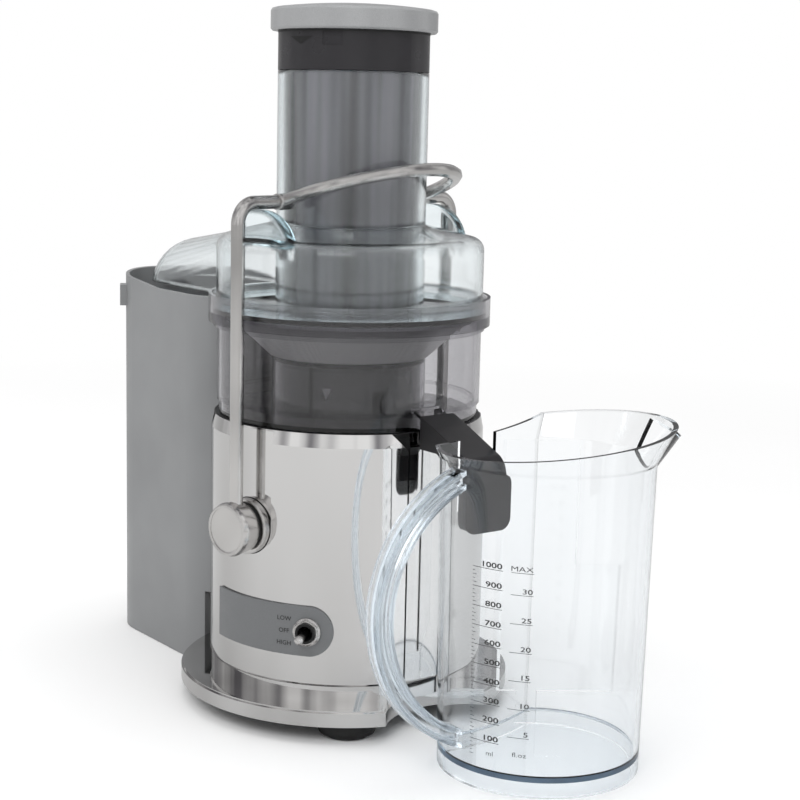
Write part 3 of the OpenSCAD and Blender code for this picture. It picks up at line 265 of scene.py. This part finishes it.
def bracket_aluminium():
    s = Shader("bracket_aluminium", grey(0.6), 0.5, Metallic=0.9)
    s.rough(s.noise(150, 4), 0.42, 0.6)
    return s.bump(s.noise(700, 4), 0.04, 0.5)


def copper():
    s = Shader("copper", (0.72, 0.38, 0.2), 0.3, Metallic=0.9)
    s.tint(s.noise(300, 2, (1, 1, 4)), (0.5, 0.22, 0.1), (0.78, 0.42, 0.23))
    return s.bump(s.noise(900, 1, (1, 1, 3)), 0.05, 0.6)


def holder_brass():
    s = Shader("holder_brass", (0.78, 0.66, 0.36), 0.3, Metallic=1.0)
    s.rough(s.noise(200, 3), 0.22, 0.4)
    return s.bump(s.noise(600, 2), 0.01, 0.4)


def carbon():
    s = Shader("carbon", grey(0.03), 0.55)
    s.tint(s.noise(900, 3), grey(0.015), grey(0.05))
    return s.bump(s.noise(1200, 2), 0.02, 0.5)


def board_green():
    s = Shader("board_green", (0.03, 0.16, 0.07), 0.3, Coat_Weight=0.4)
    s.tint(s.noise(120, 5), (0.02, 0.12, 0.05), (0.05, 0.22, 0.1))
    return s.bump(s.noise(700, 2), 0.02, 0.4)


def dark_plastic():
    s = Shader("dark_plastic", grey(0.012, -0.03), 0.3, IOR=1.5, Specular_IOR_Level=0.25)
    s.round_edges(0.6)
    s.rough(s.noise(70, 4), 0.26, 0.4)
    s.tint(s.noise(30, 3), grey(0.01, -0.03), grey(0.016, -0.03))
    return s.bump(s.noise(1400, 2), 0.012, 0.4)


def violet_grey(value):
    return (value, value * 0.96, value * 1.06)


def collar_plastic():
    s = Shader("collar_plastic", violet_grey(0.03), 0.26, IOR=1.5, Specular_IOR_Level=0.3)
    s.rough(s.noise(60, 4), 0.26, 0.36)
    s.tint(s.noise(20, 3), violet_grey(0.027), violet_grey(0.034))
    return s.bump(s.noise(1400, 2), 0.01, 0.3)


def pusher_smoke_painted_streaks():
    """Dark smoky plastic, with upright streaks of painted reflection in its colour that stand for
    what its straight walls mirror.
    """
    s = Shader("pusher_smoke_painted_streaks", violet_grey(0.06), 0.2, IOR=1.5)
    s.rough(s.noise(60, 4), 0.14, 0.24)
    # painted reflection: the stretched noise lays upright light streaks into the base colour
    s.tint(s.noise(62, 2, (1, 1, 0.02)), violet_grey(0.008), violet_grey(0.22), 0.38, 0.64)
    return s.bump(s.noise(90, 2), 0.01, 0.2)


def nozzle_plastic():
    s = Shader("nozzle_plastic", violet_grey(0.014), 0.34, IOR=1.5, Specular_IOR_Level=0.25)
    s.round_edges(0.7)
    s.rough(s.noise(60, 4), 0.3, 0.4)
    s.tint(s.noise(20, 3), violet_grey(0.012), violet_grey(0.018))
    return s.bump(s.noise(1400, 2), 0.01, 0.3)


def silver_plastic():
    s = Shader("silver_plastic", grey(0.4), 0.34, Metallic=0.35, Coat_Weight=0.2)
    s.round_edges(0.8)
    s.rough(s.noise(90, 4), 0.3, 0.4)
    s.tint(s.noise(2200, 2), grey(0.38, -0.015), grey(0.44, -0.015))
    return s.bump(s.noise(2200, 2), 0.008, 0.4)


def plate_silver():
    s = Shader("plate_silver", grey(0.19, -0.03), 0.4, Metallic=0.3)
    s.rough(s.noise(90, 4), 0.34, 0.46)
    s.tint(s.noise(2200, 2), grey(0.18, -0.03), grey(0.2, -0.03))
    return s.bump(s.noise(2200, 2), 0.008, 0.4)


def grey_plastic():
    s = Shader("grey_plastic", grey(0.25), 0.4, IOR=1.5)
    s.round_edges(0.8)
    s.rough(s.noise(40, 4), 0.34, 0.46)
    s.tint(s.noise(12, 3), grey(0.235, -0.02), grey(0.27, -0.02))
    return s.bump(s.noise(1600, 3), 0.02, 0.5)


def black_rubber():
    s = Shader("black_rubber", grey(0.008), 0.6)
    s.rough(s.noise(90, 4), 0.5, 0.7)
    s.tint(s.noise(60, 3), grey(0.006), grey(0.011))
    return s.bump(s.noise(1300, 3), 0.03, 0.5)


def clear_plastic(name, colour, density, ripple, ior=CLEAR_IOR, soft_mm=0.0, light_shadow=0.0):
    """Moulded clear plastic: the tint comes from how far light goes inside it."""
    s = Shader(name, (1, 1, 1), 0.015, IOR=ior, Transmission_Weight=1.0)
    if soft_mm:
        s.round_edges(soft_mm)
    s.rough(s.noise(50, 3), 0.0, 0.03)
    s.bump(s.noise(24, 1), ripple, 0.3)
    if light_shadow:
        s.lets_light_through(light_shadow)
    return s.absorbs(colour, density)


def clear_jug():
    return clear_plastic("clear_jug", (0.2, 0.5, 0.72), 14, 0.05, light_shadow=0.93)


def clear_handle():
    return clear_plastic("clear_handle", (0.16, 0.42, 0.62), 30, 0.04, soft_mm=2.2,
                         light_shadow=0.9)


def thin_clear():
    return clear_plastic("thin_clear", (0.3, 0.6, 0.72), 8, 0.03, SEPARATOR_IOR,
                         light_shadow=0.93)


def clear_cover():
    return clear_plastic("clear_cover", (0.16, 0.5, 0.6), 24, 0.03, soft_mm=4.0)


def smoky_bowl():
    return clear_plastic("smoky_bowl", (0.1, 0.085, 0.14), 140, 0.04)


def smoky_clear():
    return clear_plastic("smoky_clear", (0.1, 0.1, 0.14), 560, 0.06)


def ink():
    s = Shader("scale_ink", grey(0.02), 0.45)
    s.tint(s.noise(900, 2), grey(0.015), grey(0.04))
    return s.bump(s.noise(1500, 2), 0.005, 0.3)


def painted_edge_blue():
    # painted light and shade: the slate blue of the jug floor's edge, laid on an opaque band
    s = Shader("painted_edge_blue", (0.05, 0.1, 0.17), 0.3)
    s.tint(s.noise(30, 3, (1, 1, 0.2)), (0.035, 0.075, 0.13), (0.08, 0.14, 0.21))
    return s.bump(s.noise(60, 2), 0.05, 0.3)


def make_materials():
    makers = (polished_steel, arm_steel, filter_steel, plain_steel, bracket_aluminium, copper,
              holder_brass, carbon, board_green, dark_plastic, collar_plastic, pusher_smoke_painted_streaks,
              nozzle_plastic, silver_plastic, plate_silver, grey_plastic, black_rubber, clear_jug,
              clear_handle, thin_clear, clear_cover, smoky_bowl, smoky_clear, painted_edge_blue, ink)
    return {maker.__name__: maker().material for maker in makers}


def dress_nodes(materials):
    """Every CAD node gets the material of its slot, or its own look."""
    for part in frame["record"]["subparts"]:
        node = frame["nodes"][part["node"]]
        node.data.materials.clear()
        look = OWN_LOOK.get(part["node"], part["material_slot"])
        node.data.materials.append(materials[look])


# ------------------------------------------------------------------ lettering and marks
def mesh_piece(name, verts, faces, material, body):
    mesh = bpy.data.meshes.new(name)
    mesh.from_pydata(verts, [], faces)
    mesh.validate()
    mesh.materials.append(material)
    piece = bpy.data.objects.new(name, mesh)
    bpy.context.scene.collection.objects.link(piece)
    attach(piece, body)
    return piece


def flat_word(text, height, stretch, align, weight):
    """The filled outlines of a word as vertices and faces, in millimetres, from its baseline up."""
    curve = bpy.data.curves.new("word", "FONT")
    curve.body = text
    curve.size = height / 0.7
    curve.align_x = align
    curve.resolution_u = 3
    curve.offset = height * weight
    holder = bpy.data.objects.new("word", curve)
    bpy.context.scene.collection.objects.link(holder)
    bpy.context.view_layer.update()
    mesh = bpy.data.meshes.new_from_object(holder)
    verts = [(v.co.x * stretch, v.co.y) for v in mesh.vertices]
    faces = [tuple(p.vertices) for p in mesh.polygons]
    bpy.data.objects.remove(holder)
    bpy.data.curves.remove(curve)
    bpy.data.meshes.remove(mesh)
    return verts, faces


def wrapped(points, centre, radius_at, azimuth, z, lift):
    """Flat points, in millimetres, laid round an upright cylinder or cone."""
    placed = []
    for across, up in points:
        radius = radius_at(z + up) + lift
        angle = math.radians(azimuth) + across / radius
        placed.append(Vector((centre.x + radius * math.cos(angle),
                              centre.y + radius * math.sin(angle), z + up)) * MM)
    return placed


class Marks:
    """Words and bars printed on one round wall, gathered into one piece."""

    def __init__(self, centre, radius_at, lift):
        self.centre, self.radius_at, self.lift = centre, radius_at, lift
        self.verts, self.faces = [], []

    def add(self, points, faces, azimuth, z):
        first = len(self.verts)
        self.verts += wrapped(points, self.centre, self.radius_at, azimuth, z, self.lift)
        self.faces += [tuple(first + i for i in face) for face in faces]

    def word(self, text, azimuth, z, height, stretch=1.0, align="CENTER", weight=0.0):
        points, faces = flat_word(text, height, stretch, align, weight)
        self.add(points, faces, azimuth, z)

    def bar(self, start, end, z, thickness, steps=6):
        """A thin level bar from one azimuth to another."""
        radius = self.radius_at(z)
        length = math.radians(end - start) * radius
        across = [length * i / steps for i in range(steps + 1)]
        points = [(x, y) for x in across for y in (-thickness / 2, thickness / 2)]
        faces = [(2 * i, 2 * i + 2, 2 * i + 3, 2 * i + 1) for i in range(steps)]
        self.add(points, faces, start, z)

    def made(self, name, material, body):
        return mesh_piece(name, self.verts, self.faces, material, body)


def jug_radius(z):
    return JUG_R + (JUG_TOP_R - JUG_R) * z / FLARE_Z


def millilitre_scale(materials):
    marks = Marks(JUG_AT, jug_radius, INK_LIFT)
    for step in range(1, 11):
        z = SCALE_LOW + SCALE_STEP * step
        marks.bar(SCALE_LEFT, SCALE_RIGHT, z, 0.32)
        marks.word(str(step * 100), SCALE_RIGHT - 0.4, z + 0.9, 2.9, 1.6, "RIGHT", 0.03)
        for tick in range(1, 5):
            short = 1.6 if tick % 2 else 2.6
            marks.bar(SCALE_LEFT, SCALE_LEFT + short, z - SCALE_STEP * tick / 5, 0.3, 2)
    marks.word("ml", SCALE_RIGHT - 3, SCALE_LOW + SCALE_STEP - 7.5, 2.6, 1.3, "RIGHT")
    return marks.made("jug_millilitre_scale", materials["ink"], "jug")


def ounce_scale(materials):
    marks = Marks(JUG_AT, jug_radius, INK_LIFT)
    for text, step in OUNCE_MARKS:
        z = SCALE_LOW + SCALE_STEP * step
        marks.bar(OUNCE_LEFT, OUNCE_RIGHT, z, 0.3)
        weight = 0.0 if text == "MAX" else 0.015
        marks.word(text, OUNCE_RIGHT - 0.4, z + 0.9, 2.7, 1.5, "RIGHT", weight)
    marks.word("fl.oz", OUNCE_RIGHT - 1, SCALE_LOW + 5, 2.6, 1.3, "RIGHT")
    return marks.made("jug_ounce_scale", materials["ink"], "jug")


def switch_words(materials):
    marks = Marks(Vector((0, 0)), lambda z: PLATE_R, PLATE_INK_LIFT)
    for text, z in SWITCH_WORDS:
        marks.word(text, SWITCH_WORDS_AT, z, 2.6, 1.05, "CENTER", 0.02)
    return marks.made("switch_words", materials["ink"], "base")


def collar_mark(materials):
    """The little chevron on the pusher's collar that lines up with the chute."""
    marks = Marks(Vector((0, 0)), lambda z: COLLAR_R, INK_LIFT)
    steps = CHEVRON_STEPS
    across = [CHEVRON_HALF * (2 * i / steps - 1) for i in range(steps + 1)]
    outline = [(x, y) for x in across
               for y in (0, -CHEVRON_DEEP * (1 - abs(x) / CHEVRON_HALF))]
    faces = [(2 * i, 2 * i + 1, 2 * i + 3, 2 * i + 2) for i in range(steps)]
    marks.add(outline, faces, CHEVRON_AT, COLLAR_TOP - CHEVRON_BELOW_TOP)
    return marks.made("collar_chevron", materials["black_rubber"], "pusher")


# ------------------------------------------------------------------ thin skins
def turned_skin(name, profile, material, body, steps=96):
    """A skin turned round the motor axis from (radius, height) points in millimetres."""
    verts = []
    for radius, z in profile:
        for i in range(steps):
            angle = 2 * math.pi * i / steps
            verts.append(Vector((radius * math.cos(angle), radius * math.sin(angle), z)) * MM)
    faces = [(r * steps + i, r * steps + (i + 1) % steps,
              (r + 1) * steps + (i + 1) % steps, (r + 1) * steps + i)
             for r in range(len(profile) - 1) for i in range(steps)]
    piece = mesh_piece(name, verts, faces, material, body)
    for polygon in piece.data.polygons:
        polygon.use_smooth = True
    return piece


def filter_mesh(materials):
    """The fine strainer just outside the basket, which hides its slots."""
    return turned_skin("filter_mesh", FILTER_SKIN, materials["filter_steel"], "rotor")


def jug_floor_painted_band(materials):
    """A painted band: opaque slate blue inside the clear wall, standing for the light and shade
    that the edge of the jug's thick floor gathers.
    """
    steps = 180
    verts, faces = [], []
    for i in range(steps):
        angle = 2 * math.pi * i / steps
        for z in PAINTED_BAND_Z:
            radius = jug_radius(z) - PAINTED_BAND_INSIDE_WALL
            verts.append(Vector((JUG_AT.x + radius * math.cos(angle),
                                 JUG_AT.y + radius * math.sin(angle), z)) * MM)
    clear_of = (MOTOR_HOLLOW_R + PAINTED_BAND_FROM_HOLLOW) * MM
    for i in range(steps):
        ends = (2 * i, 2 * ((i + 1) % steps))
        if all(verts[e].xy.length > clear_of for e in ends):
            faces.append((ends[0], ends[1], ends[1] + 1, ends[0] + 1))
    return mesh_piece("jug_floor_painted_band", verts, faces, materials["painted_edge_blue"], "jug")


def cap_shadow_line(materials):
    """Painted shadow: a black band on the collar just under the cap, standing for the shade in the
    joint between the pusher's cap and its collar.
    """
    line = ((COLLAR_R, COLLAR_TOP - CAP_SHADOW_DEPTH), (COLLAR_R + 0.1, COLLAR_TOP))
    return turned_skin("cap_painted_shadow", line, materials["black_rubber"], "pusher")


# ------------------------------------------------------------------ studio
def make_camera():
    across = Vector((math.cos(BASE_TURN), math.sin(BASE_TURN), 0))
    away = Vector((-math.sin(BASE_TURN), math.cos(BASE_TURN), 0))
    up = Vector((0, 0, 1))
    ahead = ((across * math.sin(YAW) + away * math.cos(YAW)) * math.cos(PITCH)
             - up * math.sin(PITCH))
    right = across * math.cos(YAW) - away * math.sin(YAW)
    above = right.cross(ahead)
    tilted_right = right * math.cos(ROLL) + above * math.sin(ROLL)
    tilted_up = above * math.cos(ROLL) - right * math.sin(ROLL)
    lens = bpy.data.cameras.new("camera")
    lens.lens = FOCAL
    lens.sensor_width = SENSOR
    lens.clip_start = 0.01
    camera = bpy.data.objects.new("camera", lens)
    turn = Matrix((tilted_right, tilted_up, -ahead)).transposed()
    camera.matrix_world = Matrix.Translation(CAMERA_AT) @ turn.to_4x4()
    bpy.context.scene.collection.objects.link(camera)
    bpy.context.scene.camera = camera


def softbox(name, at, towards, width, height, watts):
    light = bpy.data.lights.new(name, "AREA")
    light.shape = "RECTANGLE"
    light.size = width
    light.size_y = height
    light.energy = watts
    lamp = bpy.data.objects.new(name, light)
    lamp.location = at
    lamp.visible_glossy = False
    lamp.rotation_euler = (Vector(towards) - Vector(at)).to_track_quat("-Z", "Y").to_euler()
    bpy.context.scene.collection.objects.link(lamp)


def make_lights():
    softbox("key_light", (0.9, -1.6, 1.7), (0.02, 0, 0.2), 1.2, 1.0, 20)
    softbox("side_light", (-1.7, -0.9, 1.2), (0, 0, 0.2), 0.9, 1.2, 9)
    softbox("top_light", (0.1, 0.3, 2.2), (0, 0, 0.1), 1.6, 1.6, 12)


def grey_bands(nodes, links, way):
    """Soft upright bands, from dark grey to white, all round the object."""
    bands = nodes.new("ShaderNodeTexNoise")
    bands.inputs["Scale"].default_value = 3.4
    bands.inputs["Detail"].default_value = 1.5
    squeeze = nodes.new("ShaderNodeMapping")
    squeeze.inputs["Scale"].default_value = (1, 1, 0.25)
    links.new(way, squeeze.inputs["Vector"])
    links.new(squeeze.outputs["Vector"], bands.inputs["Vector"])
    ramp = nodes.new("ShaderNodeValToRGB")
    ramp.color_ramp.elements[0].position = 0.36
    ramp.color_ramp.elements[0].color = BAND_DARK
    ramp.color_ramp.elements[1].position = 0.64
    ramp.color_ramp.elements[1].color = WHITE
    links.new(bands.outputs["Fac"], ramp.inputs["Fac"])
    return ramp.outputs["Color"]


def dimmer_behind(nodes, links, way):
    """1 in front of the object, falling behind it."""
    behind = nodes.new("ShaderNodeVectorMath")
    behind.operation = "DOT_PRODUCT"
    behind.inputs[1].default_value = (-math.sin(BASE_TURN), math.cos(BASE_TURN), 0)
    links.new(way, behind.inputs[0])
    fall = nodes.new("ShaderNodeMapRange")
    fall.inputs["From Min"].default_value = 0.1
    fall.inputs["From Max"].default_value = 0.9
    fall.inputs["To Min"].default_value = 1.0
    fall.inputs["To Max"].default_value = 0.7
    links.new(behind.outputs["Value"], fall.inputs["Value"])
    return fall.outputs["Result"]


def background(nodes, strength):
    node = nodes.new("ShaderNodeBackground")
    node.inputs["Color"].default_value = WHITE
    node.inputs["Strength"].default_value = strength
    return node


def make_world():
    """White behind the object, and soft upright bands of grey for polished metal to mirror."""
    world = bpy.data.worlds.new("studio")
    world.use_nodes = True
    nodes, links = world.node_tree.nodes, world.node_tree.links
    nodes.clear()
    way = nodes.new("ShaderNodeTexCoord").outputs["Generated"]
    dimmed = nodes.new("ShaderNodeVectorMath")
    dimmed.operation = "SCALE"
    links.new(grey_bands(nodes, links, way), dimmed.inputs[0])
    links.new(dimmer_behind(nodes, links, way), dimmed.inputs["Scale"])
    mirrored = background(nodes, WORLD_MIRRORED)
    links.new(dimmed.outputs["Vector"], mirrored.inputs["Color"])
    ray = nodes.new("ShaderNodeLightPath")
    lit = mixed(nodes, links, ray.outputs["Is Glossy Ray"],
                background(nodes, WORLD_LIGHT).outputs["Background"],
                mirrored.outputs["Background"])
    shown = mixed(nodes, links, seen_directly(nodes, links), lit,
                  background(nodes, 1.0).outputs["Background"])
    output = nodes.new("ShaderNodeOutputWorld")
    links.new(shown, output.inputs["Surface"])
    bpy.context.scene.world = world


def floor_mesh():
    sides = FLOOR_SIDES
    verts = [(0, 0, FLOOR_Z)]
    for radius in FLOOR_RINGS:
        for i in range(sides):
            angle = 2 * math.pi * i / sides
            verts.append((radius * math.cos(angle), radius * math.sin(angle), FLOOR_Z))
    faces = []
    for i in range(sides):
        faces.append((0, 1 + i, 1 + (i + 1) % sides))
        for ring in range(len(FLOOR_RINGS) - 1):
            a, b = 1 + ring * sides, 1 + (ring + 1) * sides
            faces.append((a + i, b + i, b + (i + 1) % sides, a + (i + 1) % sides))
    mesh = bpy.data.meshes.new("floor")
    mesh.from_pydata(verts, [], faces)
    return mesh


def pale_paper():
    """White where it is seen, melting into the background, and pale grey to all other light."""
    s = Shader("pale_paper", grey(0.9), 0.7)
    s.tint(s.noise(3, 2), grey(0.93), grey(0.95))
    far = s.nodes.new("ShaderNodeTexGradient")
    far.gradient_type = "SPHERICAL"
    s.links.new(s.stretched((0.6, 0.6, 0.6)), far.inputs["Vector"])
    glow = s.nodes.new("ShaderNodeEmission")
    glow.inputs["Strength"].default_value = 1.0
    paper = mixed(s.nodes, s.links, s.ranged(far.outputs["Fac"], 0, 1, 0.1, 0.75),
                  glow.outputs["Emission"], s.bsdf.outputs["BSDF"])
    dull = s.nodes.new("ShaderNodeBsdfDiffuse")
    dull.inputs["Color"].default_value = (*grey(FLOOR_FOR_LIGHT), 1)
    return s.shows(mixed(s.nodes, s.links, seen_directly(s.nodes, s.links),
                         dull.outputs["BSDF"], paper))


def make_floor():
    """A wide round sheet of pale paper."""
    mesh = floor_mesh()
    mesh.materials.append(pale_paper().material)
    floor = bpy.data.objects.new("floor", mesh)
    bpy.context.scene.collection.objects.link(floor)


make_camera()
make_world()
make_lights()
make_floor()
bpy.context.scene.view_settings.view_transform = "Standard"

MATERIALS = make_materials()
dress_nodes(MATERIALS)
millilitre_scale(MATERIALS)
ounce_scale(MATERIALS)
switch_words(MATERIALS)
collar_mark(MATERIALS)
filter_mesh(MATERIALS)
cap_shadow_line(MATERIALS)
jug_floor_painted_band(MATERIALS)
